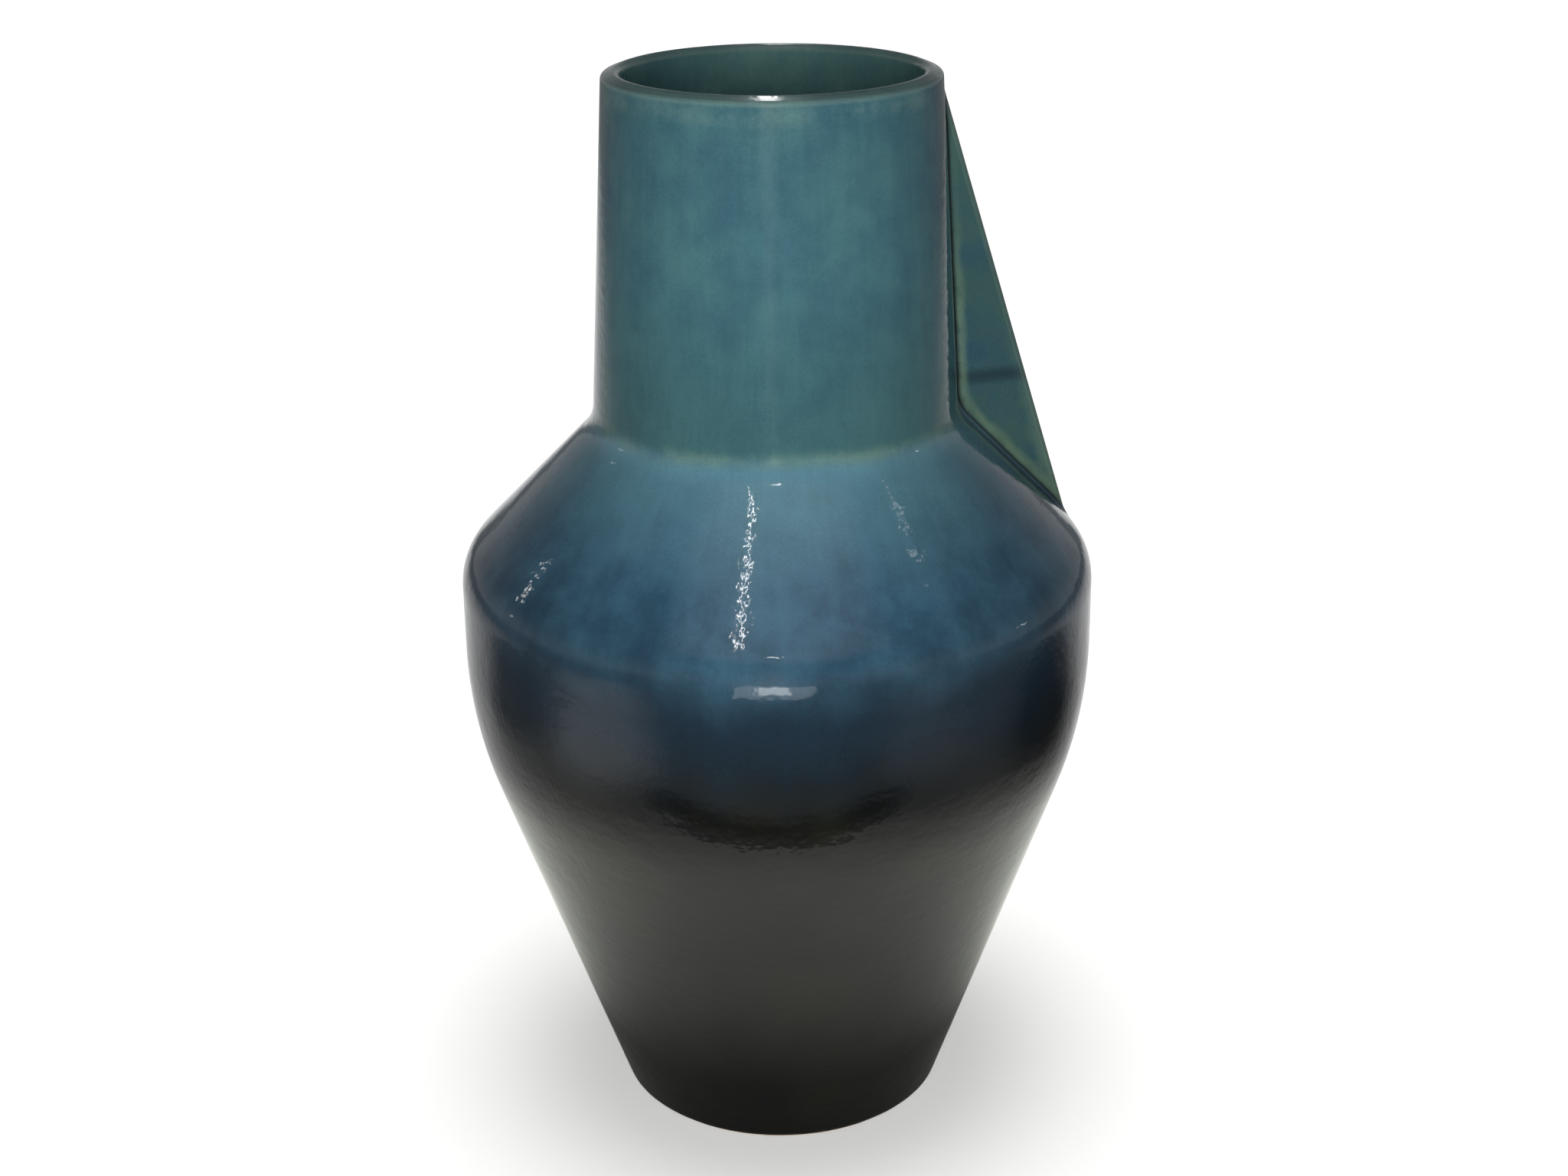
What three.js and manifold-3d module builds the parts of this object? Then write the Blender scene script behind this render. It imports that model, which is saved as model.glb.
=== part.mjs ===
// Flower vase: a tall neck on a sloping shoulder, a near-upright belly band, a long
// tapering lower wall on a small foot, and one triangular fin handle.
// Millimetres, +Z up, origin at the middle of the foot, on the surface it stands on.
import * as THREE from 'three';
import { mergeVertices } from 'three/addons/utils/BufferGeometryUtils.js';
import Module from 'manifold-3d';

const wasm = await Module();
wasm.setup();

// Driving dimensions
const height = 300;
const footRadius = 47.2;
const bellyRadius = 88.8; // where the lower wall and the belly band would meet unrounded
const bellyHeight = 122;
const bellyFillet = 120;
const ridgeRadius = 88.5; // where the belly band and the shoulder would meet unrounded
const ridgeHeight = 166;
const ridgeFillet = 15;
const neckFootRadius = 50.4;
const neckFootHeight = 205;
const neckFillet = 13;
const mouthRadius = 44.8;
const wall = 5.3;
const seamGap = 0.3; // clearance between neighbouring clay sections
const lap = 3; // height of the step that keys one section into the next

// Foot and floor
const footRingHeight = 3.5;
const footRingWidth = 8;
const footChamfer = 0.8;
const floorEdgeHeight = 8;

// Heights of the seams between the wall sections
const bellySeam = 118;
const shoulderSeam = 158;
const neckSeam = 207;

// Fin handle
const finAzimuth = THREE.MathUtils.degToRad(14);
const finThickness = 11;
const finEdgeRound = 2;
const finTopHeight = 290;
const finTopRadius = 46.9; // radius of the slanted edge at the top of the fin
const finFootHeight = 163;
const finFootRadius = 86.9; // radius of the slanted edge at its foot, inside the ridge
const finRootRadius = 36;

// Fineness of the faceted solids
const columns = 48;
const arcDivisions = 3;

const outerCorners = [
  { at: new THREE.Vector2(footRadius, 0) },
  { at: new THREE.Vector2(bellyRadius, bellyHeight), fillet: bellyFillet },
  { at: new THREE.Vector2(ridgeRadius, ridgeHeight), fillet: ridgeFillet },
  { at: new THREE.Vector2(neckFootRadius, neckFootHeight), fillet: neckFillet },
  { at: new THREE.Vector2(mouthRadius, height) },
];

function direction(from, to) {
  return to.clone().sub(from).normalize();
}

// Where two straight lines, each given by a point and a direction, cross
function crossing(pointA, alongA, pointB, alongB) {
  const reach = pointB.clone().sub(pointA).cross(alongB) / alongA.cross(alongB);
  return pointA.clone().addScaledVector(alongA, reach);
}

// The same outline moved towards the axis, its fillets kept concentric
function insetCorners(corners, inset) {
  const level = new THREE.Vector2(1, 0);
  const lines = corners.slice(1).map((corner, i) => {
    const along = direction(corners[i].at, corner.at);
    const inward = new THREE.Vector2(-along.y, along.x);
    return { point: corners[i].at.clone().addScaledVector(inward, inset), along };
  });
  return corners.map((corner, i) => {
    const below = lines[i - 1];
    const above = lines[i];
    if (!below) {
      return { at: crossing(above.point, above.along, corner.at, level) };
    }
    if (!above) {
      return { at: crossing(below.point, below.along, corner.at, level) };
    }
    const bulges = below.along.cross(above.along) > 0;
    return {
      at: crossing(below.point, below.along, above.point, above.along),
      fillet: corner.fillet + (bulges ? -inset : inset),
    };
  });
}

// Points up an outline of corners, each middle corner rounded by a tangent arc
function roundedPath(corners) {
  const path = new THREE.Path();
  path.moveTo(corners[0].at.x, corners[0].at.y);
  corners.slice(1, -1).forEach((corner, i) => {
    const back = direction(corner.at, corners[i].at);
    const onward = direction(corner.at, corners[i + 2].at);
    const halfAngle = Math.acos(back.dot(onward)) / 2;
    const middle = back.clone().add(onward).normalize();
    const centre = corner.at.clone().addScaledVector(middle, corner.fillet / Math.sin(halfAngle));
    const tangentLength = corner.fillet / Math.tan(halfAngle);
    const start = corner.at.clone().addScaledVector(back, tangentLength);
    const end = corner.at.clone().addScaledVector(onward, tangentLength);
    const clockwise = onward.cross(back) < 0;
    path.lineTo(start.x, start.y);
    path.absarc(
      centre.x, centre.y, corner.fillet,
      start.clone().sub(centre).angle(), end.clone().sub(centre).angle(), clockwise,
    );
  });
  const last = corners[corners.length - 1].at;
  path.lineTo(last.x, last.y);
  return path.getPoints(arcDivisions);
}

const outerPath = roundedPath(outerCorners);
const innerPath = roundedPath(insetCorners(outerCorners, wall));

// A point of a rising path at a given height
function pointAt(path, level) {
  const above = path.findIndex((point) => point.y >= level);
  const upper = path[Math.max(above, 1)];
  const lower = path[Math.max(above, 1) - 1];
  const share = (level - lower.y) / (upper.y - lower.y);
  return new THREE.Vector2(THREE.MathUtils.lerp(lower.x, upper.x, share), level);
}

// The stretch of a rising path between two heights
function stretch(path, low, high) {
  const between = path.filter((point) => point.y > low + seamGap && point.y < high - seamGap);
  return [pointAt(path, low), ...between, pointAt(path, high)];
}

function midWall(level) {
  return (pointAt(outerPath, level).x + pointAt(innerPath, level).x) / 2;
}

// A solid of revolution about Z from a closed outline of (radius, height) points
function turned(outline) {
  const geometry = new THREE.LatheGeometry([...outline, outline[0]], columns);
  return geometry.rotateX(Math.PI / 2);
}

// The step at the foot of a section, cut back to clear the upstand of the one below
function lowerStep(seam) {
  const face = midWall(seam) + seamGap;
  return [
    new THREE.Vector2(face, seam + lap + seamGap),
    new THREE.Vector2(face, seam + seamGap),
  ];
}

// The upstand at the top of a section
function upperStep(seam) {
  return [new THREE.Vector2(midWall(seam), seam), new THREE.Vector2(midWall(seam), seam + lap)];
}

function wallSection(low, high) {
  return turned([
    ...stretch(outerPath, low + seamGap, high),
    ...upperStep(high),
    ...stretch(innerPath, low + lap + seamGap, high + lap).reverse(),
    ...lowerStep(low),
  ]);
}

function footRing() {
  const inside = footRadius - footRingWidth;
  return turned([
    new THREE.Vector2(inside, 0),
    new THREE.Vector2(footRadius - footChamfer, 0),
    pointAt(outerPath, footChamfer),
    pointAt(outerPath, footRingHeight),
    new THREE.Vector2(inside, footRingHeight),
  ]);
}

function baseFloor() {
  const underside = footRingHeight + seamGap;
  return turned([
    new THREE.Vector2(0, underside),
    ...stretch(outerPath, underside, floorEdgeHeight),
    ...upperStep(floorEdgeHeight),
    new THREE.Vector2(0, floorEdgeHeight + lap),
  ]);
}

// The neck runs on up from its seam and ends in a half-round lip
function neck() {
  const lipRadius = (pointAt(outerPath, height).x - pointAt(innerPath, height).x) / 2;
  const lipHeight = height - lipRadius;
  const lip = new THREE.Path();
  lip.absarc(midWall(lipHeight), lipHeight, lipRadius, 0, Math.PI, false);
  return turned([
    ...stretch(outerPath, neckSeam + seamGap, lipHeight),
    ...lip.getPoints(arcDivisions).slice(1, -1),
    ...stretch(innerPath, neckSeam + lap + seamGap, lipHeight).reverse(),
    ...lowerStep(neckSeam),
  ]);
}

function toSolid(geometry) {
  const bare = geometry.clone();
  bare.deleteAttribute('normal');
  bare.deleteAttribute('uv');
  const merged = mergeVertices(bare, 1e-4);
  return new wasm.Manifold(new wasm.Mesh({
    numProp: 3,
    vertProperties: new Float32Array(merged.attributes.position.array),
    triVerts: new Uint32Array(merged.index.array),
  }));
}

function toGeometry(solid) {
  const mesh = solid.getMesh();
  const geometry = new THREE.BufferGeometry();
  geometry.setAttribute('position', new THREE.BufferAttribute(mesh.vertProperties, 3));
  geometry.setIndex(new THREE.BufferAttribute(mesh.triVerts, 1));
  return geometry;
}

// A thick triangle standing out from the neck and the shoulder, cut to fit against them
function finHandle() {
  const side = new THREE.Shape();
  side.moveTo(finRootRadius, finFootHeight);
  side.lineTo(finFootRadius, finFootHeight);
  side.lineTo(finTopRadius, finTopHeight);
  side.lineTo(finRootRadius, finTopHeight);
  side.closePath();
  const blank = new THREE.ExtrudeGeometry(side, {
    depth: finThickness - 2 * finEdgeRound,
    bevelThickness: finEdgeRound,
    bevelSize: finEdgeRound,
    bevelOffset: -finEdgeRound,
    bevelSegments: arcDivisions,
  });
  blank.translate(0, 0, finEdgeRound - finThickness / 2);
  blank.rotateX(Math.PI / 2);
  blank.rotateZ(finAzimuth);
  const grown = roundedPath(insetCorners(outerCorners, -seamGap));
  const pot = turned([
    new THREE.Vector2(0, 0),
    ...grown,
    new THREE.Vector2(0, height),
  ]);
  return toGeometry(toSolid(blank).subtract(toSolid(pot)));
}

function glazed(color) {
  return new THREE.MeshStandardMaterial({ color, roughness: 0.12, metalness: 0 });
}

function clay(color) {
  return new THREE.MeshStandardMaterial({ color, roughness: 0.9, metalness: 0 });
}

const vase = new THREE.Group();

function add(name, geometry, material) {
  const mesh = new THREE.Mesh(geometry, material);
  mesh.name = name;
  vase.add(mesh);
}

add('foot_ring', footRing(), clay('#b9a98c'));
add('base_floor', baseFloor(), glazed('#23323a'));
add('lower_wall', wallSection(floorEdgeHeight, bellySeam), glazed('#262a29'));
add('belly_band', wallSection(bellySeam, shoulderSeam), glazed('#1f3340'));
add('shoulder', wallSection(shoulderSeam, neckSeam), glazed('#34556f'));
add('neck', neck(), glazed('#3e6668'));
add('fin_handle', finHandle(), glazed('#3b6466'));

export default vase;
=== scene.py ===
import math

import bpy
import numpy as np
from mathutils import Matrix, Vector


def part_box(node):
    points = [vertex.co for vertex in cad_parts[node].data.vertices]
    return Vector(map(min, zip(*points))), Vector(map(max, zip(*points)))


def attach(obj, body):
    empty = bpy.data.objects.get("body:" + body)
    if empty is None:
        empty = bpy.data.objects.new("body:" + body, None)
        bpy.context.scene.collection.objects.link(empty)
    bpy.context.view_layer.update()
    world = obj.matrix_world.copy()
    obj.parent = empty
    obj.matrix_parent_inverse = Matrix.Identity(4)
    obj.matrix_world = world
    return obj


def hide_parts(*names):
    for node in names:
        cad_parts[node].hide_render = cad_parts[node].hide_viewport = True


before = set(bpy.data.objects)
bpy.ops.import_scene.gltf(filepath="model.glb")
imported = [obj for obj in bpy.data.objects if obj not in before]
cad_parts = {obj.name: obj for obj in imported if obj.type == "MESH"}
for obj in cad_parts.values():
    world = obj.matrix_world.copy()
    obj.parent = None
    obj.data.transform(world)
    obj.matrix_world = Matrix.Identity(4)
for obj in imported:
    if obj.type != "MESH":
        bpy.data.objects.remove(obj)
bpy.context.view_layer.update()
scene = bpy.context.scene
mm = 0.001
print("frame loaded:", ", ".join(sorted(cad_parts)))


class Wire:  # an output socket that takes part in sums
    def __init__(self, graph, socket):
        self.graph = graph
        self.socket = socket

    def math(self, operation, *others):
        values = {i: other for i, other in enumerate((self, *others))}
        return self.graph.add("ShaderNodeMath", {"operation": operation}, values)

    def out(self, name):  # another output of the same node
        return Wire(self.graph, self.socket.node.outputs[name])

    def __add__(self, other):
        return self.math("ADD", other)

    def __sub__(self, other):
        return self.math("SUBTRACT", other)

    def __mul__(self, other):
        return self.math("MULTIPLY", other)

    def __truediv__(self, other):
        return self.math("DIVIDE", other)

    def __rsub__(self, other):
        return self.graph.add("ShaderNodeMath", {"operation": "SUBTRACT"}, {0: other, 1: self})

    def __rtruediv__(self, other):
        return self.graph.add("ShaderNodeMath", {"operation": "DIVIDE"}, {0: other, 1: self})

    __radd__ = __add__
    __rmul__ = __mul__


class Graph:  # builds one node tree
    def __init__(self, tree):
        self.tree = tree

    def add(self, kind, settings=None, sockets=None, output=0):
        node = self.tree.nodes.new(kind)
        for name, value in (settings or {}).items():
            setattr(node, name, value)
        for key, value in (sockets or {}).items():
            if isinstance(value, Wire):
                self.tree.links.new(value.socket, node.inputs[key])
            else:
                node.inputs[key].default_value = value
        return Wire(self, node.outputs[output]) if node.outputs else node

    def mix(self, factor, first, second, blend="MIX"):  # of two colours
        colours = [value if isinstance(value, Wire) else (*value, 1) for value in (first, second)]
        return self.add(
            "ShaderNodeMix",
            {"data_type": "RGBA", "blend_type": blend},
            {0: factor, 6: colours[0], 7: colours[1]},
            output=2,
        )

    def ease(self, value, low, high, toLow=0.0, toHigh=1.0):  # smooth step
        return self.add(
            "ShaderNodeMapRange",
            {"interpolation_type": "SMOOTHSTEP"},
            {0: value, 1: low, 2: high, 3: toLow, 4: toHigh},
        )

    def noise(self, place, scale, detail=2.0, roughness=0.5):
        sockets = {"Vector": place, "Scale": scale, "Detail": detail, "Roughness": roughness}
        return self.add("ShaderNodeTexNoise", None, sockets)

    def band(self, value, centre, width):  # 1 at the centre, 0 from half the width away
        away = (value - centre).math("ABSOLUTE")
        return self.ease(away, width / 2, 0.0)


class Finish(Graph):  # a material whose shader takes wires or plain values
    def __init__(self, name, **constants):
        self.material = bpy.data.materials.new(name)
        self.material.use_nodes = True
        super().__init__(self.material.node_tree)
        self.shader = self.tree.nodes["Principled BSDF"]
        for socket, value in constants.items():
            self.shader.inputs[socket.replace("_", " ")].default_value = value

    def feed(self, socket, wire):
        self.tree.links.new(wire.socket, self.shader.inputs[socket])

    def ownPlace(self):
        return self.add("ShaderNodeTexCoord").out("Object")

    def attribute(self, name):
        return self.add("ShaderNodeAttribute", {"attribute_name": name}).out("Fac")

    def roughen(self, height, depth):
        bump = self.add("ShaderNodeBump", None, {"Distance": depth, "Height": height})
        self.feed("Normal", bump)


# the glaze: teal on the neck, blue on the shoulder, nearly black below the belly
glazeLook = {
    "tealDeep": (0.025, 0.075, 0.102),
    "tealLight": (0.036, 0.098, 0.112),
    # greener glaze with painted shade towards the neck's foot
    "tealShadedLow": (0.024, 0.066, 0.072),
    "blueDeep": (0.018, 0.050, 0.084),
    "blueLight": (0.030, 0.078, 0.120),
    "bluePale": (0.064, 0.148, 0.186),
    "black": (0.0036, 0.0042, 0.0040),
    "blackOlive": (0.0085, 0.0090, 0.0060),
    "lip": (0.034, 0.058, 0.066),
    # lighter than the teal outside: painted light inside the mouth
    "inside": (0.062, 0.125, 0.122),
    "groovePaintedShade": (0.006, 0.012, 0.014),
    "finGreen": (0.026, 0.064, 0.062),
    "finBlue": (0.017, 0.050, 0.076),
    "pooled": (0.105, 0.170, 0.110),  # where it gathers in a hollow
    "thin": (0.150, 0.220, 0.180),  # where it runs off an edge
    "navy": (0.0055, 0.0145, 0.0245),
    "roughness": 0.045,
    "rippleDepth": 0.15 * mm,
}
glazeHeights = {  # in mm above the ground: where one colour gives way to the next
    "blackToNavy": (122, 152),
    # its upper end also darkens the lower shoulder as painted shade
    "navyToBlue": (150, 180),
    "blueToPale": (176, 206),
    "blueToTeal": (205, 211),
    "tealToShadedLow": (262, 214),
    "lip": (298.0, 298.8),
    "pooled": 208.3,
    "finReflectedLine": 213.5,
    "lipLine": 295.5,
    "runLength": 15,  # how far the blue runs down into the black
}
glazeAmounts = {  # how much of each colour shows, from 0 to 1
    "tealShadedLow": 0.65,
    "bluePale": 0.75,
    "finReflectedLine": 0.7,
    "besideRoot": 0.62,
    "lowEdge": 0.35,
    "pooled": 0.32,
    "lipLine": 0.2,
    "lip": 0.4,
    "groove": 0.85,
}
glazeNoise = {
    # name: scale, detail and roughness
    "cloud": (26, 3, 0.5),
    "mottle": (95, 4, 0.6),
    "grain": (1500, 1, 0.5),
    "streak": (55, 3, 0.6),
    "fineStreak": (420, 2, 0.5),
    "dripping": (60, 3, 0.6),
    "swell": (110, 2, 0.4),
    "peel": (520, 1, 0.5),
    "throwing": (300, 1, 0.5),
}
glazeFlow = {
    # name: how wide a pattern is wrapped round the pot, and how much of its height is kept
    "run": (0.07, 0.16),
    "drip": (0.07, 0.04),
    "throw": (0.021, 1.0),
}


def glazeFinish():
    look, heights, amounts, noises = glazeLook, glazeHeights, glazeAmounts, glazeNoise
    glaze = Finish("runningGlaze", IOR=1.45)
    place = glaze.ownPlace()
    spot = glaze.add("ShaderNodeSeparateXYZ", None, {0: place})
    x, y, height = spot.out("X"), spot.out("Y"), spot.out("Z") / mm
    radius = (x * x + y * y).math("SQRT").math("MAXIMUM", 1 * mm)

    def wrapped(flow):  # the place as a pattern drawn out down the wall has it
        width, keep = glazeFlow[flow]
        sockets = {0: x / radius * width, 1: y / radius * width, 2: spot.out("Z") * keep}
        return glaze.add("ShaderNodeCombineXYZ", None, sockets)

    cloud = glaze.noise(place, *noises["cloud"]) - 0.5
    mottle = glaze.noise(place, *noises["mottle"])
    grain = glaze.noise(place, *noises["grain"])
    run = wrapped("run")
    streak = glaze.noise(run, *noises["streak"])
    fineStreak = glaze.noise(run, *noises["fineStreak"])
    dripping = glaze.noise(wrapped("drip"), *noises["dripping"]) - 0.5

    # the wall, from the top down
    patch = glaze.ease(mottle * 0.72 + streak * 0.28 + cloud * 0.9, 0.25, 0.74)
    teal = glaze.mix(patch, look["tealDeep"], look["tealLight"])
    # the neck's lower part: a greener glaze, darkened as painted shade towards its foot
    shadedLowDown = glaze.ease(height + cloud * 30, *heights["tealToShadedLow"])
    teal = glaze.mix(shadedLowDown * amounts["tealShadedLow"], teal, look["tealShadedLow"])
    blue = glaze.mix(patch, look["blueDeep"], look["blueLight"])
    highUp = glaze.ease(height + cloud * 14, *heights["blueToPale"])
    blue = glaze.mix(highUp * amounts["bluePale"], blue, look["bluePale"])
    olive = glaze.ease(cloud + 0.5, 0.4, 0.7)
    black = glaze.mix(olive, look["black"], look["blackOlive"])
    onNeck = glaze.ease(height + cloud * 8, *heights["blueToTeal"])
    colour = glaze.mix(onNeck, blue, teal)
    runDown = height + dripping * heights["runLength"] + cloud * 12 + (mottle - 0.5) * 6
    # navy glaze grades up from the black; its top also darkens the lower shoulder as painted shade
    colour = glaze.mix(glaze.ease(runDown, *heights["navyToBlue"]), look["navy"], colour)
    colour = glaze.mix(glaze.ease(runDown, *heights["blackToNavy"]), black, colour)

    # the fin: green, with patches of blue and a navy level line as a painted reflection, yellower
    # beside the root and low on the edge
    onFin = glaze.attribute("onFin")
    rootGap, edgeGap = glaze.attribute("rootGap"), glaze.attribute("edgeGap")
    finPatch = glaze.ease(mottle * 0.5 + cloud * 1.6, 0.2, 0.55)
    panel = glaze.mix(finPatch, look["finGreen"], look["finBlue"])
    colour = glaze.mix(onFin, colour, panel)
    # painted reflection: a navy line across the fin's face at one level
    reflectedLevelLine = glaze.band(height + cloud * 5, heights["finReflectedLine"], 7.0) * onFin
    colour = glaze.mix(reflectedLevelLine * amounts["finReflectedLine"], colour, look["navy"])
    besideRoot = glaze.band(rootGap + (mottle - 0.5) * 4, 2.5, 5.0) * onFin
    besideRoot = besideRoot * glaze.ease(height, 270, 222, 0.15, 1)
    besideRoot = besideRoot * glaze.ease(mottle, 0.3, 0.6, 0.45, 1)
    colour = glaze.mix(besideRoot * amounts["besideRoot"], colour, look["pooled"])
    lowEdge = glaze.ease(edgeGap + (mottle - 0.5) * 5, 5.0, 1.0) * onFin
    lowEdge = lowEdge * glaze.ease(height, 240, 185)
    colour = glaze.mix(lowEdge * amounts["lowEdge"], colour, look["pooled"])

    # the inside, lightened as painted light, the pooled ring round the neck's foot and the thin
    # ring under the lip
    inside = glaze.attribute("inside")
    # painted light: the inside's teal made lighter
    inner = glaze.mix(patch * 0.5 + 0.5, look["tealDeep"], look["inside"])
    colour = glaze.mix(inside, colour, inner)
    plainWall = (1 - inside) * (1 - onFin)
    pool = glaze.band(height + cloud * 6, heights["pooled"], 7.0) * glaze.ease(mottle, 0.3, 0.6)
    colour = glaze.mix(pool * plainWall * amounts["pooled"], colour, look["pooled"])
    lipLine = glaze.band(height + cloud * 4, heights["lipLine"], 7.0) * plainWall
    lipLine = lipLine * glaze.ease(mottle, 0.35, 0.65)
    colour = glaze.mix(lipLine * amounts["lipLine"], colour, look["thin"])
    colour = glaze.mix(glaze.ease(height, *heights["lip"]) * amounts["lip"], colour, look["lip"])

    # thin on edges; dark lines in the fin's groove as painted shade and painted reflection
    bend = glaze.attribute("bend")
    edge = glaze.ease(bend + (mottle - 0.5) * 0.1, 0.16, 0.42) * glaze.ease(height, 120, 170)
    colour = glaze.mix(edge * glaze.ease(height, 285, 293, 0.16, 0.24), colour, look["thin"])
    finGap = glaze.attribute("finGap")
    # painted shade along the fin's root, and at half strength a painted reflection of the fin on
    # the wall beside it
    groove = glaze.band(rootGap, 1.0, 1.5) + glaze.band(finGap, 1.3, 1.5) * 0.5
    groove = groove.math("MINIMUM", 1) * glaze.ease(bend, -0.05, -0.2) * (1 - inside)
    colour = glaze.mix(groove * amounts["groove"], colour, look["groovePaintedShade"])

    shade = streak * 0.25 + fineStreak * 0.2 + mottle * 0.25 + grain * 0.3
    shade = glaze.ease(shade, 0.38, 0.60, 0.91, 1.07)
    shades = glaze.add("ShaderNodeCombineColor", None, {0: shade, 1: shade, 2: shade})
    glaze.feed("Base Color", glaze.mix(1.0, colour, shades, "MULTIPLY"))
    glaze.feed("Roughness", look["roughness"] + grain * 0.03 + edge * 0.10)

    swell = glaze.noise(place, *noises["swell"])
    peel = glaze.noise(place, *noises["peel"])
    throwing = glaze.noise(wrapped("throw"), *noises["throwing"])
    glaze.roughen(swell * 0.9 + peel * 0.32 + throwing * 0.35, look["rippleDepth"])
    return glaze.material


# the bare clay under the foot
clayLook = {
    "pale": (0.46, 0.36, 0.25),
    "brown": (0.30, 0.21, 0.13),
    "speck": (0.10, 0.07, 0.05),
    "grainDepth": 0.12 * mm,
}


def bareClayFinish():
    look = clayLook
    clay = Finish("bareClay", IOR=1.45)
    place = clay.ownPlace()
    colour = clay.mix(clay.ease(clay.noise(place, 60, 4), 0.35, 0.65), look["pale"], look["brown"])
    specks = clay.ease(clay.noise(place, 1100, 2), 0.66, 0.74)
    clay.feed("Base Color", clay.mix(specks * 0.8, colour, look["speck"]))
    grain = clay.noise(place, 900, 4, 0.7)
    clay.feed("Roughness", 0.72 + grain * 0.25)
    clay.roughen(grain, look["grainDepth"])
    return clay.material


# the pot's outline, as corners with the radius that each one is rounded to
potShape = {
    "height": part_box("neck")[1].z,
    "footRadius": 47.2 * mm,
    "belly": (88.8 * mm, 122 * mm, 120 * mm),  # radius, height, rounding
    "ridge": (88.5 * mm, 166 * mm, 15 * mm),
    "neckFoot": (50.4 * mm, 205 * mm, 13 * mm),
    "mouthRadius": 44.8 * mm,
    "wall": 5.3 * mm,
    "lipRounding": 1.2 * mm,
    "innerLipRounding": 1.9 * mm,
    "lipDrop": 1.2 * mm,  # the lip slopes down outwards by this much
    "lipCrown": 0.87 * mm,  # taken off its inner corner by the rounding
    "glazeStop": 1.3 * mm,  # how far above the ground the glaze ends
    "glazeBead": 0.35 * mm,
    "underside": 4.2 * mm,
    "ringRadius": 46.5 * mm,  # the bare foot ring inside the glaze
    "floorTop": 11 * mm,
    "floorRounding": 12 * mm,
}
fineness = {
    "outerStep": 1.4 * mm,
    "innerStep": 4 * mm,
    "hiddenStep": 9 * mm,
    "arcStep": math.radians(9),
    "hiddenArcStep": math.radians(45),
    "fieldStep": 0.3 * mm,  # for looking up the wall's radius at a height
    "fieldArcStep": math.radians(2),
    "columns": 262,
    "finShare": 0.41,  # share of the columns gathered round the fin
}


def heading(start, end):
    return (end - start).normalized()


def meeting(pointA, alongA, pointB, alongB):  # where two lines cross
    reach = (pointB - pointA).cross(alongB) / alongA.cross(alongB)
    return pointA + reach * alongA


def insetCorners(corners, inset):  # the outline moved towards the axis
    level = Vector((1, 0))
    lines = []
    for (startR, startZ, _), (endR, endZ, _) in zip(corners, corners[1:]):
        along = heading(Vector((startR, startZ)), Vector((endR, endZ)))
        inward = Vector((-along.y, along.x))
        lines.append((Vector((startR, startZ)) + inset * inward, along))
    moved = []
    for i, (radius, height, rounding) in enumerate(corners):
        before = lines[i - 1] if i > 0 else (Vector((radius, height)), level)
        after = lines[i] if i < len(lines) else (Vector((radius, height)), level)
        place = meeting(*before, *after)
        bulges = before[1].cross(after[1]) > 0
        moved.append((place.x, place.y, rounding - inset if bulges else rounding + inset))
    return moved


def roundedOutline(corners):  # straight and round stretches, in order
    points = [Vector(corner[:2]) for corner in corners]
    stretches = []
    start = points[0]
    for i in range(1, len(points) - 1):
        rounding = corners[i][2]
        if not rounding:
            stretches.append(("line", start, points[i]))
            start = points[i]
            continue
        back = heading(points[i], points[i - 1])
        onward = heading(points[i], points[i + 1])
        halfAngle = back.angle(onward) / 2
        centre = points[i] + (back + onward).normalized() * (rounding / math.sin(halfAngle))
        first = points[i] + back * (rounding / math.tan(halfAngle))
        startAngle = math.atan2(*(first - centre).yx)
        sweep = math.pi - 2 * halfAngle
        if back.cross(onward) > 0:
            sweep = -sweep
        stretches.append(("line", start, first))
        stretches.append(("arc", centre, rounding, startAngle, sweep))
        start = points[i] + onward * (rounding / math.tan(halfAngle))
    stretches.append(("line", start, points[-1]))
    return stretches


def pointsAlong(stretches, step, arcStep=fineness["arcStep"]):
    points = [] if stretches[0][0] == "arc" else [stretches[0][1]]
    for kind, *shape in stretches:
        if kind == "line":
            start, end = shape
            count = max(1, round((end - start).length / step))
            points += [start.lerp(end, (i + 1) / count) for i in range(count)]
        else:
            centre, radius, startAngle, sweep = shape
            count = math.ceil(max(abs(sweep) * radius / step, abs(sweep) / arcStep))
            for i in range(count):
                angle = startAngle + sweep * (i + 1) / count
                points.append(centre + radius * Vector((math.cos(angle), math.sin(angle))))
    return points


def distanceTo(stretches, radius, height):  # unsigned, for arrays of points
    nearest = np.full(radius.shape, np.inf)
    for kind, *shape in stretches:
        if kind == "line":
            start, end = shape
            run = end - start
            if run.length == 0:
                continue
            share = (radius - start.x) * run.x + (height - start.y) * run.y
            share = np.clip(share / run.length_squared, 0, 1)
            gap = np.hypot(radius - start.x - share * run.x, height - start.y - share * run.y)
        else:
            centre, bend, startAngle, sweep = shape
            angle = np.arctan2(height - centre.y, radius - centre.x)
            passed = np.mod((angle - startAngle) * np.sign(sweep), 2 * np.pi)
            gap = np.abs(np.hypot(radius - centre.x, height - centre.y) - bend)
            gap = np.where(passed <= abs(sweep), gap, np.inf)
        nearest = np.minimum(nearest, gap)
    return nearest


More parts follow.
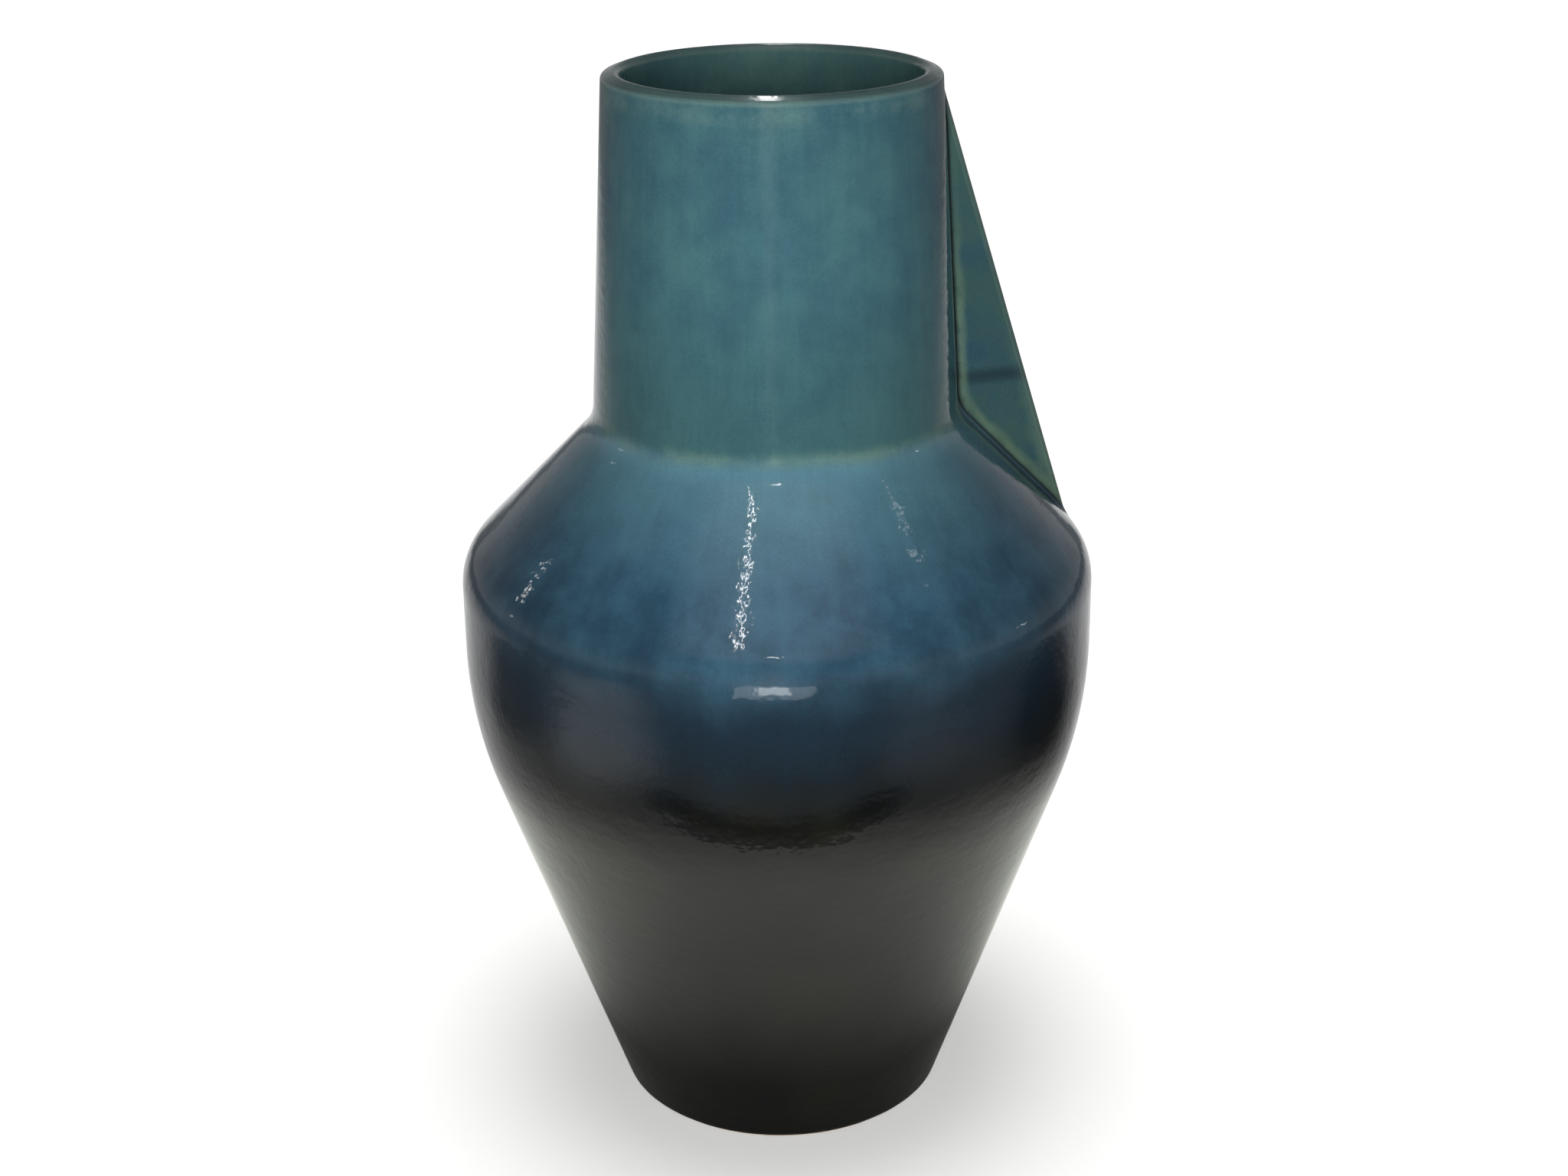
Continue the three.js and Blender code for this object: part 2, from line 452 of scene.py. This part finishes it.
def wallOutline():  # in three runs: under the floor, up outside, then the lip and down inside
    shape = potShape
    foot = (shape["footRadius"], 0, 0)
    mouth = (shape["mouthRadius"], shape["height"], 0)
    outer = [foot, shape["belly"], shape["ridge"], shape["neckFoot"], mouth]
    inner = insetCorners(outer, shape["wall"])
    stopShare = shape["glazeStop"] / shape["belly"][1]
    stop = Vector(foot[:2]).lerp(Vector(shape["belly"][:2]), stopShare)
    innerFoot, innerBelly = Vector(inner[0][:2]), Vector(inner[1][:2])
    floorShare = (shape["floorTop"] - innerFoot.y) / (innerBelly.y - innerFoot.y)
    floorEdge = innerFoot.lerp(innerBelly, floorShare)
    hiddenRun = [
        (0, shape["underside"], 0),
        (shape["ringRadius"], shape["underside"], 0),
        (shape["ringRadius"], stop.y, shape["glazeBead"] * 0.8),
        (*stop, shape["glazeBead"]),
    ]
    innerRun = [*inner[-2:0:-1], (*floorEdge, shape["floorRounding"]), (0, shape["floorTop"], 0)]
    neckRun = shape["height"] - shape["neckFoot"][1]
    outerLip = Vector(mouth[:2]).lerp(Vector(shape["neckFoot"][:2]), shape["lipDrop"] / neckRun)
    innerLip = (inner[-1][0], shape["height"] + shape["lipCrown"])
    lips = [(*outerLip, shape["lipRounding"]), (*innerLip, shape["innerLipRounding"])]
    stretches = roundedOutline([*hiddenRun, *outer[1:-1], *lips, *innerRun])
    hiddenEnd = 5  # stretches up to the glaze bead
    outsideEnd = hiddenEnd + 8  # a straight and a round one to each corner, outer lip included
    return stretches[:hiddenEnd], stretches[hiddenEnd:outsideEnd], stretches[outsideEnd:]


# turning on the wheel, by Geometry Nodes: every outline point becomes one row of a grid
def turningTree():
    tree = bpy.data.node_groups.new("turnOnWheel", "GeometryNodeTree")
    inputs = {
        "Outline": "NodeSocketGeometry",
        "Columns": "NodeSocketInt",
        "Gather Angle": "NodeSocketFloat",
        "Half Width": "NodeSocketFloat",
        "Gathered Share": "NodeSocketFloat",
        "Finish": "NodeSocketMaterial",
    }
    for name, kind in inputs.items():
        tree.interface.new_socket(name, in_out="INPUT", socket_type=kind)
    tree.interface.new_socket("Turned", in_out="OUTPUT", socket_type="NodeSocketGeometry")
    graph = Graph(tree)
    given = graph.add("NodeGroupInput")
    outline = given.out("Outline")
    size = graph.add("GeometryNodeAttributeDomainSize", {"component": "MESH"}, {0: outline})
    rows = size.out("Point Count")
    shape = graph.add(
        "GeometryNodeMeshGrid",
        None,
        {"Size X": 1.0, "Size Y": 1.0, "Vertices X": given.out("Columns") + 1, "Vertices Y": rows},
    )
    spot = graph.add("ShaderNodeSeparateXYZ", None, {0: graph.add("GeometryNodeInputPosition")})
    across = spot.out("X") * 2  # -1 to 1, 0 at the gathered side
    row = ((spot.out("Y") + 0.5) * (rows - 1)).math("ROUND")
    distance = across.math("ABSOLUTE")
    half = given.out("Half Width")
    share = given.out("Gathered Share")
    near = distance * (half / share)
    far = half + (distance - share) * ((math.pi - half) / (1 - share))
    turn = across.math("SIGN") * near.math("MAXIMUM", far)
    angle = turn + given.out("Gather Angle")
    sampled = graph.add(
        "GeometryNodeSampleIndex",
        {"data_type": "FLOAT_VECTOR", "domain": "POINT"},
        {"Geometry": outline, "Value": graph.add("GeometryNodeInputPosition"), "Index": row},
    )
    reach = graph.add("ShaderNodeSeparateXYZ", None, {0: sampled})
    radius, height = reach.out("X"), reach.out("Z")
    turned = graph.add(
        "ShaderNodeCombineXYZ",
        None,
        {0: radius * angle.math("COSINE"), 1: radius * angle.math("SINE"), 2: height},
    )
    shape = graph.add(
        "GeometryNodeStoreNamedAttribute",
        {"data_type": "INT", "domain": "POINT"},
        {"Geometry": shape, "Name": "row", "Value": row},
    )
    shape = graph.add("GeometryNodeSetPosition", None, {"Geometry": shape, "Position": turned})
    shape = graph.add("GeometryNodeMergeByDistance", None, {"Geometry": shape, "Distance": 1e-6})
    shape = graph.add("GeometryNodeSetShadeSmooth", None, {"Geometry": shape})
    shape = graph.add("GeometryNodeRealizeInstances", None, {"Geometry": shape})
    finished = {"Geometry": shape, "Material": given.out("Finish")}
    shape = graph.add("GeometryNodeSetMaterial", None, finished)
    graph.add("NodeGroupOutput", None, {"Turned": shape})
    return tree


def turnPiece(name, points, settings, finish):
    outline = bpy.data.meshes.new(name + "Outline")
    edges = [(i, i + 1) for i in range(len(points) - 1)]
    outline.from_pydata([(point.x, 0, point.y) for point in points], edges, [])
    drawn = bpy.data.objects.new(name + "Outline", outline)
    scene.collection.objects.link(drawn)
    wheel = drawn.modifiers.new("turnOnWheel", "NODES")
    wheel.node_group = turning
    values = {"Gather Angle": 0.0, "Half Width": math.pi / 2, "Gathered Share": 0.5}
    values.update(settings, Finish=finish)
    for item in turning.interface.items_tree:
        if item.in_out == "INPUT" and item.name in values:
            wheel[item.identifier] = values[item.name]
    evaluated = drawn.evaluated_get(bpy.context.evaluated_depsgraph_get())
    mesh = bpy.data.meshes.new_from_object(evaluated)
    mesh.name = name
    mesh.materials.clear()
    mesh.materials.append(finish)
    bpy.data.objects.remove(drawn)
    piece = bpy.data.objects.new(name, mesh)
    scene.collection.objects.link(piece)
    return piece


# the fin, raised from the turned wall
finShape = {
    "azimuth": math.radians(14),
    "halfThickness": 5.5 * mm,
    "edgeRounding": 1.8 * mm,
    "fillet": 1.3 * mm,  # where it meets the pot
    "topHeight": 295.4 * mm,
    "topRadius": 45.3 * mm,  # radius of the slanted edge at that height
    "slope": 0.3145,  # outwards for each unit down
    "footHeight": 164 * mm,
    "halfWidth": 0.27,  # radians of the turned wall that it is raised from
    "crowding": 2.4 * mm,  # how near its edge and its root the columns gather
    "crowdingPeak": 2.5,
    "samples": 600,  # of the spacing along a level cut
    "reachBelow": 60 * mm,  # how far under its foot the columns are moved too
    "settleSteps": 6,
}


def roundedMeet(first, second, rounding):  # the overlap of two solids, edge rounded
    over = np.maximum(rounding + first, 0), np.maximum(rounding + second, 0)
    return np.minimum(-rounding, np.maximum(first, second)) + np.hypot(*over)


def filletedJoin(first, second, fillet):  # the union of two solids, corner filled
    under = np.maximum(fillet - first, 0), np.maximum(fillet - second, 0)
    return np.maximum(fillet, np.minimum(first, second)) - np.hypot(*under)


def finEdgeRadius(height):
    return finShape["topRadius"] + finShape["slope"] * (finShape["topHeight"] - height)


def finFrame(places):  # outwards along the fin, sideways from its middle plane, and up
    cosine, sine = math.cos(finShape["azimuth"]), math.sin(finShape["azimuth"])
    x, y, height = places.T
    return x * cosine + y * sine, y * cosine - x * sine, height


def pastSlant(out, height):  # how far beyond the slanted edge
    return (out - finEdgeRadius(height)) / math.hypot(1, finShape["slope"])


def finDistance(places):
    out, aside, height = finFrame(places)
    rounding = finShape["edgeRounding"]
    side = roundedMeet(pastSlant(out, height), height - finShape["topHeight"], rounding)
    side = roundedMeet(side, finShape["footHeight"] - height, rounding)
    return roundedMeet(side, np.abs(aside) - finShape["halfThickness"], rounding)


class Wall:  # the turned wall as a distance field
    def __init__(self, outside, inside):
        self.stretches = outside + inside
        fine = pointsAlong(self.stretches, fineness["fieldStep"], fineness["fieldArcStep"])
        line = np.array(fine)
        top = int(np.argmax(line[:, 1]))
        self.outer, self.inner = line[: top + 1], line[top:][::-1]

    def distance(self, places):
        radius = np.hypot(places[:, 0], places[:, 1])
        height = places[:, 2]
        gap = distanceTo(self.stretches, radius, height)
        outerRadius = np.interp(height, self.outer[:, 1], self.outer[:, 0])
        innerRadius = np.interp(height, self.inner[:, 1], self.inner[:, 0])
        within = (radius < outerRadius) & (radius > innerRadius) & (height < potShape["height"])
        return np.where(within, -gap, gap)

    def withFin(self, places):
        return filletedJoin(self.distance(places), finDistance(places), finShape["fillet"])


def slopeOf(field, places, step=0.02 * mm):
    parts = []
    for axis in np.eye(3) * step:
        parts.append((field(places + axis) - field(places - axis)) / (2 * step))
    return np.stack(parts, axis=1)


def bendOf(field, places, step=1.2 * mm):  # how sharply the surface bends, below 0 in a hollow
    total = -6 * field(places)
    for axis in np.eye(3) * step:
        total += field(places + axis) + field(places - axis)
    return total / step**2 * mm


def crowdedSpots(shares, edge, root, end):  # lengths along the section, closer at its corners
    lengths = np.linspace(0, end, finShape["samples"])
    peak, spread = finShape["crowdingPeak"], finShape["crowding"]
    density = 1.0
    for corner in (edge, root):
        density = density + peak * np.exp(-(((lengths - corner) / spread) ** 2))
    total = np.concatenate([[0], np.cumsum((density[1:] + density[:-1]) / 2)])
    return np.interp(shares, total / total[-1], lengths)


def finSection(radius, height, shares):  # half of a level cut: face, side, then the wall
    half, thick = finShape["halfWidth"], finShape["halfThickness"]
    rootOut = math.sqrt(radius**2 - thick**2)
    rootAngle = math.asin(thick / radius)
    standsHere = finShape["footHeight"] < height < finShape["topHeight"]
    edgeOut = max(rootOut, finEdgeRadius(height)) if standsHere else rootOut
    edge = thick
    root = edge + edgeOut - rootOut
    spot = crowdedSpots(shares, edge, root, root + radius * (half - rootAngle))
    angle = rootAngle + (spot - root) / radius
    if edgeOut == rootOut:
        angle = np.where(spot < root, spot / root * rootAngle, angle)
    onWall = (spot > root) | (edgeOut == rootOut)
    out = np.where(onWall, radius * np.cos(angle), edgeOut - np.maximum(spot - edge, 0))
    aside = np.where(onWall, radius * np.sin(angle), np.minimum(spot, thick))
    return out, aside


def raiseFin(piece, points, wall):
    mesh = piece.data
    places = readValues(mesh.vertices, "co", 3)
    row = readValues(mesh.attributes["row"].data, "value", 1, np.int32)
    outline = np.array(points)
    lipRow = int(np.argmax(outline[:, 1]))
    turn = np.arctan2(places[:, 1], places[:, 0]) - finShape["azimuth"]
    nearFin = (np.abs(turn) < finShape["halfWidth"]) & (row <= lipRow)
    nearFin &= outline[row, 1] > finShape["footHeight"] - finShape["reachBelow"]
    cosine, sine = math.cos(finShape["azimuth"]), math.sin(finShape["azimuth"])
    for number in np.unique(row[nearFin]):
        radius, height = outline[number]
        chosen = nearFin & (row == number)
        out, aside = finSection(radius, height, np.abs(turn[chosen]) / finShape["halfWidth"])
        aside = aside * np.sign(turn[chosen])
        places[chosen, 0] = out * cosine - aside * sine
        places[chosen, 1] = out * sine + aside * cosine
    placed = places[nearFin]
    for _ in range(finShape["settleSteps"]):  # onto the filleted surface
        slope = slopeOf(wall.withFin, placed)
        steep = np.maximum((slope**2).sum(axis=1), 0.05)
        placed = placed - (wall.withFin(placed) / steep)[:, None] * slope
    places[nearFin] = placed
    mesh.vertices.foreach_set("co", places.astype(np.float32).ravel())
    mesh.update()
    markGlaze(mesh, places, row > lipRow, nearFin, wall)


glazeMarks = {
    "finFrom": 0.4,  # in mm out from the pot
    "finFade": 1.2,
    "insideFade": 2 * mm,  # down from the lip
}


def markGlaze(mesh, places, inside, nearFin, wall):  # what the glaze reads off the shape
    aboveFoot = places[:, 2] > 2 * potShape["floorTop"]
    bend = np.zeros(len(places))
    bend[aboveFoot] = bendOf(wall.distance, places[aboveFoot])
    bend[nearFin] = bendOf(wall.withFin, places[nearFin])
    out, aside, height = finFrame(places)
    fromPot = wall.distance(places) / mm
    onFin = np.clip((fromPot - glazeMarks["finFrom"]) / glazeMarks["finFade"], 0, 1)
    marks = {"bend": bend, "onFin": np.where(nearFin, onFin, 0), "rootGap": fromPot}
    marks["edgeGap"] = -pastSlant(out, height) / mm
    marks["finGap"] = finDistance(places) / mm
    deep = potShape["height"] - potShape["lipRounding"] - places[:, 2]
    marks["inside"] = np.where(inside, np.clip(deep / glazeMarks["insideFade"] + 0.5, 0, 1), 0)
    for name, values in marks.items():
        layer = mesh.attributes.new(name, "FLOAT", "POINT")
        layer.data.foreach_set("value", values.astype(np.float32))


def readValues(owner, name, width, kind=np.float32):
    values = np.zeros(len(owner) * width, kind)
    owner.foreach_get(name, values)
    return values.reshape(-1, width).astype(float) if width > 1 else values


def makeBody(finish):
    hidden, outside, inside = wallOutline()
    points = pointsAlong(hidden, fineness["hiddenStep"], fineness["hiddenArcStep"])
    points += pointsAlong(outside, fineness["outerStep"])[1:]
    points += pointsAlong(inside, fineness["innerStep"])[1:]
    settings = {
        "Columns": fineness["columns"],
        "Gather Angle": finShape["azimuth"],
        "Half Width": finShape["halfWidth"],
        "Gathered Share": fineness["finShare"],
    }
    body = turnPiece("glazedBody", points, settings, finish)
    raiseFin(body, points, Wall(outside, inside))
    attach(body, "root")
    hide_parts("lower_wall", "belly_band", "shoulder", "neck", "fin_handle")


# the bare foot: a ring to stand on and the recessed base inside it
footShape = {
    "ringInner": 39.2 * mm,
    "ringOuter": 46.45 * mm,
    "ringHeight": 4.1 * mm,
    "edgeRounding": 0.7 * mm,
    "discRadius": 39.15 * mm,
    "discBottom": 3.5 * mm,
    "discTop": 4.15 * mm,
    "ringSpacing": 4.2 * mm,  # the turning rings left on the base
    "ringDepth": 0.14 * mm,
    "step": 0.7 * mm,
    "arcStep": math.radians(15),
    "columns": 192,
}


def makeFootRing(finish):
    shape = footShape
    middle = ((shape["ringInner"] + shape["ringOuter"]) / 2, shape["ringHeight"], 0)
    corners = [
        middle,
        (shape["ringInner"], shape["ringHeight"], shape["edgeRounding"] / 2),
        (shape["ringInner"], 0, shape["edgeRounding"]),
        (shape["ringOuter"], 0, shape["edgeRounding"]),
        (shape["ringOuter"], shape["ringHeight"], shape["edgeRounding"] / 2),
        middle,
    ]
    points = pointsAlong(roundedOutline(corners), shape["step"], shape["arcStep"])
    ring = turnPiece("footRing", points, {"Columns": shape["columns"]}, finish)
    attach(ring, "root")
    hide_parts("foot_ring")


def makeBase(finish):
    shape = footShape
    count = round(shape["discRadius"] / shape["step"])
    points = []
    for i in range(count + 1):
        radius = shape["discRadius"] * i / count
        groove = shape["ringDepth"] * math.cos(2 * math.pi * radius / shape["ringSpacing"])
        points.append(Vector((radius, shape["discBottom"] + groove)))
    points += [Vector((shape["discRadius"], shape["discTop"])), Vector((0, shape["discTop"]))]
    disc = turnPiece("baseDisc", points, {"Columns": shape["columns"]}, finish)
    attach(disc, "root")
    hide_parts("base_floor")


turning = turningTree()
makeBody(glazeFinish())
print("pot turned and fin raised")
bareClay = bareClayFinish()
makeFootRing(bareClay)
makeBase(bareClay)
print("foot made")


# camera, floor and light
view = {
    "focalLength": 52.7,
    "sensorWidth": 36.0,
    "place": (1.9 * mm, -606.6 * mm, 397.9 * mm),
    "tiltDown": 21.95,  # degrees below level
    "roll": -0.54,
    "clipStart": 0.01,
}


def placeCamera():
    data = bpy.data.cameras.new("camera")
    data.lens = view["focalLength"]
    data.sensor_width = view["sensorWidth"]
    data.clip_start = view["clipStart"]
    camera = bpy.data.objects.new("camera", data)
    scene.collection.objects.link(camera)
    turn = Matrix.Rotation(math.radians(90 - view["tiltDown"]), 4, "X")
    roll = Matrix.Rotation(math.radians(view["roll"]), 4, "Z")
    camera.matrix_world = Matrix.Translation(view["place"]) @ turn @ roll
    scene.camera = camera


def stageMesh(name, corners, faces, finish):
    mesh = bpy.data.meshes.new(name)
    mesh.from_pydata(corners, [], faces)
    mesh.materials.append(finish.material)
    piece = bpy.data.objects.new(name, mesh)
    scene.collection.objects.link(piece)
    return piece


floor = {
    "reach": 6.0,
    "colour": (0.87, 0.87, 0.86, 1),
    "roughness": 0.9,
    "wallHeight": 8.0,
    "wallColour": (0.93, 0.93, 0.92, 1),
}


def squareAt(height):  # the floor's corners at a height
    reach = floor["reach"]
    return [(x * reach, y * reach, height) for x, y in ((-1, -1), (1, -1), (1, 1), (-1, 1))]


def layFloor():
    corners, tops = squareAt(0), squareAt(floor["wallHeight"])
    paper = Finish("floorPaper", Base_Color=floor["colour"], Roughness=floor["roughness"])
    stageMesh("floor", corners, [(0, 1, 2, 3)], paper).visible_diffuse = False
    sides = [(i, i + 4, (i + 1) % 4 + 4, (i + 1) % 4) for i in range(4)]
    glow = {"Emission_Color": floor["wallColour"], "Emission_Strength": 1.0}
    wallPaper = Finish("wallPaper", Base_Color=(0, 0, 0, 1), Roughness=1.0, **glow)
    walls = stageMesh("walls", corners + tops, sides, wallPaper)
    walls.visible_diffuse = False
    walls.visible_glossy = False
    walls.visible_shadow = False


# what the glaze mirrors: a pale sheet under the pot on a greyer, unevenly dark table
table = {
    "rise": 1 * mm,
    "grey": (0.15, 0.15, 0.155),
    "pale": (0.85, 0.87, 0.80),
    "sheetFades": (0.24, 0.13),
    "sheetFront": -0.17,
    "gap": (-0.20, 0.075),  # the dark strip before the sheet: place and depth
    "gapFades": (0.204, 0.119),
    "gapColour": (0.01, 0.01, 0.01),
    "softEdge": 1 * mm,
    "spotCore": 0.25,  # share of the radius at which a patch is at its full strength
    "spots": [  # soft patches: place, radius and brightness
        (0, 0.75, 1.1, 0.75),
        (-0.31, -0.19, 0.18, 0.80),
        (0.26, -0.24, 0.15, 0.35),
        (0.33, 0.06, 0.21, 0.015),
        (-0.38, 0.06, 0.17, 0.10),
    ],
}


def tableFinish():
    look = table
    finish = Finish("mirroredTable", Roughness=1.0)
    spot = finish.add("ShaderNodeSeparateXYZ", None, {0: finish.ownPlace()})
    x, y = spot.out("X"), spot.out("Y")
    colour = look["grey"]
    for placeX, placeY, radius, bright in look["spots"]:
        away = ((x - placeX) * (x - placeX) + (y - placeY) * (y - placeY)).math("SQRT")
        patch = finish.ease(away, radius, radius * look["spotCore"])
        colour = finish.mix(patch, colour, (bright, bright, bright))
    front, soft = look["sheetFront"], look["softEdge"]
    sheet = finish.ease((x * x + y * y).math("SQRT"), *look["sheetFades"])
    sheet = sheet * finish.ease(y, front - 2 * soft, front + 2 * soft)
    colour = finish.mix(sheet, colour, look["pale"])
    gap = finish.band(y, *look["gap"]) * finish.ease(x.math("ABSOLUTE"), *look["gapFades"])
    gap = gap * finish.ease(y, front + soft, front - soft)
    finish.feed("Base Color", finish.mix(gap, colour, look["gapColour"]))
    return finish


def layTable():
    card = stageMesh("mirroredTable", squareAt(table["rise"]), [(0, 1, 2, 3)], tableFinish())
    card.visible_camera = False
    card.visible_diffuse = False
    card.visible_shadow = False


lights = {
    # name: place, aimed at, size, power, colour, spread in degrees
    "front": ((-0.02, -0.50, 0.27), (0, 0, 0.22), (0.05, 0.34), 0.51, (1.0, 0.98, 0.95), 60),
    "left": ((-0.9, 0.1, 0.5), (0, 0, 0.15), (0.5, 0.5), 0.12, (0.93, 0.97, 1.0), 180),
    "right": ((0.9, 0.1, 0.5), (0, 0, 0.15), (0.5, 0.5), 0.10, (0.93, 0.97, 1.0), 180),
    "behind": ((0.15, 0.75, 0.5), (0, 0, 0.15), (0.4, 0.3), 4.5, (1.0, 1.0, 1.0), 180),
}
glints = {
    # the same, for what shows only in the gloss
    "window": ((-0.006, -0.25, 0.125), (0, 0, 0.125), (0.10, 0.06), 0.040, (0.95, 0.98, 1.0), 180),
    "pane": ((-0.004, -0.25, 0.128), (0, 0, 0.128), (0.04, 0.035), 0.028, (0.95, 0.98, 1.0), 180),
    "lamp": ((-0.02, -0.80, 1.13), (0, 0, 0.20), (0.07, 0.05), 0.20, (1.0, 1.0, 1.0), 180),
    "skylight": ((-0.02, 0.80, 1.33), (0, 0, 0.30), (0.05, 0.42), 1.5, (1.0, 1.0, 1.0), 180),
    "sparkLeft": ((-1.17, 0.52, 0.81), (0, 0, 0.17), (0.02, 0.03), 0.022, (1.0, 1.0, 1.0), 180),
    "sparkLow": ((-1.38, 0.38, 0.41), (0, 0, 0.17), (0.02, 0.06), 0.035, (1.0, 1.0, 1.0), 180),
    "sparkHigh": ((0.93, -0.10, 1.26), (0, 0, 0.19), (0.03, 0.05), 0.02, (1.0, 1.0, 1.0), 180),
    "sparkRight": ((1.43, 0.09, 0.445), (0, 0, 0.17), (0.06, 0.03), 0.04, (1.0, 1.0, 1.0), 180),
}
brokenTube = {  # mirrored as the streak down the shoulder
    "place": (-0.27, -0.70, 1.60),
    "target": (0, 0, 0.19),
    "width": 0.012,
    "powerPerLength": 2.3,
    "pieces": [  # along, aside and length
        (0.125, 0.004, 0.07),
        (0.045, -0.012, 0.05),
        (-0.02, 0.006, 0.05),
        (-0.075, -0.004, 0.022),
        (-0.135, -0.010, 0.03),
    ],
}
sky = {
    "brightness": 0.10,
    "glow": 0.65,  # added in front of the pot and above it
    "glowTowards": (0, -0.40, 0.917),
    "glowFades": (0.84, 0.97),  # as cosines of the angle from that direction
    "horizon": 0.32,  # added near the horizon
    "horizonFades": 0.52,  # gone at this height of the direction
}
suns = {
    # name: strength, spread in degrees, what it lights, whether the pot shades it
    "tableSun": (2.9, 25, ["mirroredTable"], True),
    "floorSun": (1.1, 30, ["floor"], True),
    "floorFill": (2.2, 30, ["floor"], False),
}


def litOnly(lamp, name, pieces):  # the lamp lights these pieces and nothing else
    group = bpy.data.collections.new(name)
    for piece in pieces:
        group.objects.link(piece)
    lamp.light_linking.receiver_collection = group


def hangLight(name, place, target, size, power, colour, spread, pieces):
    data = bpy.data.lights.new(name, "AREA")
    data.shape = "RECTANGLE"
    data.size, data.size_y = size
    data.energy = power
    data.color = colour
    data.spread = math.radians(spread)
    lamp = bpy.data.objects.new(name, data)
    lamp.location = place
    aim = Vector(target) - Vector(place)
    lamp.rotation_euler = aim.to_track_quat("-Z", "Y").to_euler()
    lamp.visible_camera = False
    scene.collection.objects.link(lamp)
    litOnly(lamp, name, pieces)
    return lamp


def hangBrokenTube(pieces):
    tube = brokenTube
    for i, (along, aside, length) in enumerate(tube["pieces"]):
        size = tube["width"], length
        power = tube["powerPerLength"] * length
        place, target, white = tube["place"], tube["target"], (1.0, 1.0, 1.0)
        lamp = hangLight(f"tube{i}", place, target, size, power, white, 180, pieces)
        lamp.location += lamp.rotation_euler.to_matrix() @ Vector((aside, along, 0))
        lamp.visible_diffuse = False


def hangSun(name, strength, spread, lit, shaded):
    data = bpy.data.lights.new(name, "SUN")
    data.energy = strength
    data.angle = math.radians(spread)
    data.use_shadow = shaded
    lamp = bpy.data.objects.new(name, data)
    scene.collection.objects.link(lamp)
    litOnly(lamp, name, [bpy.data.objects[piece] for piece in lit])


def lightScene():
    pot = [bpy.data.objects[name] for name in ("glazedBody", "footRing", "baseDisc")]
    for name, setup in lights.items():
        hangLight(name, *setup, pot).visible_glossy = False
    for name, setup in glints.items():
        hangLight(name, *setup, pot).visible_diffuse = False
    hangBrokenTube(pot)
    for name, setup in suns.items():
        hangSun(name, *setup)
    world = bpy.data.worlds.new("softLight")
    world.use_nodes = True
    graph = Graph(world.node_tree)
    background = world.node_tree.nodes["Background"]
    background.inputs["Color"].default_value = (1, 1, 1, 1)
    towards = graph.add("ShaderNodeTexCoord").out("Generated")
    directions = {0: towards, 1: sky["glowTowards"]}
    product = {"operation": "DOT_PRODUCT"}
    facing = graph.add("ShaderNodeVectorMath", product, directions, output="Value")
    strength = sky["brightness"] + graph.ease(facing, *sky["glowFades"]) * sky["glow"]
    rise = graph.add("ShaderNodeSeparateXYZ", None, {0: towards}).out("Z").math("ABSOLUTE")
    strength = strength + graph.ease(rise, sky["horizonFades"], 0.0) * sky["horizon"]
    world.node_tree.links.new(strength.socket, background.inputs["Strength"])
    scene.world = world
    scene.view_settings.view_transform = "Standard"


placeCamera()
layFloor()
layTable()
lightScene()
print("camera, floor and lights set")
